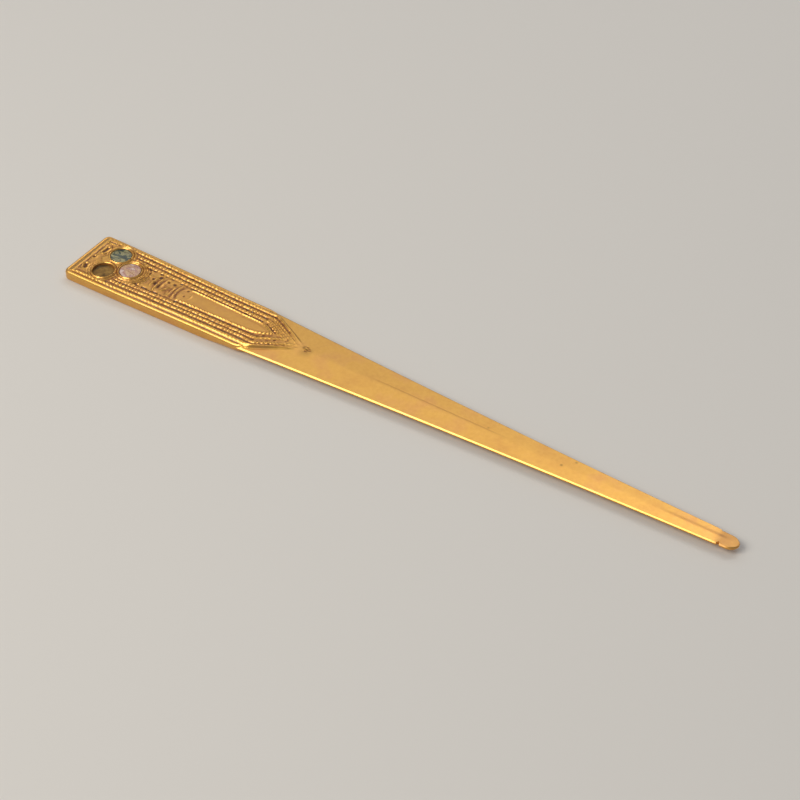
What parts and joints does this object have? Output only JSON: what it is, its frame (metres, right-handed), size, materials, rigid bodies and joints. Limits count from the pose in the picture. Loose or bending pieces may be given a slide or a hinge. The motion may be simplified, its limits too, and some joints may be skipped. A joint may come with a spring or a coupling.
{
  "type": "letter opener",
  "caption": "Flat cast and gilt bronze letter opener: decorated handle with round cells holding shell discs, an arrow-shaped handle end and a long tapering blade.",
  "frame": {"origin": "under the middle of the whole length, on the plane that the handle's flat back rests on", "axes": "+X along the blade towards its tip, +Z out of the decorated face, +Y across the handle"},
  "size_m": [0.229, 0.022, 0.0044],
  "materials": {
    "gilt_bronze": "satin",
    "green_shell": "gloss",
    "pink_shell": "gloss",
    "old_cement": "matte"
  },
  "bodies": {
    "root": {"letter_opener_casting": "gilt_bronze", "green_shell_disc": "green_shell", "pink_shell_disc": "pink_shell", "green_disc_cement": "old_cement", "pink_disc_cement": "old_cement", "empty_cell_cement": "old_cement"}
  },
  "joints": []
}
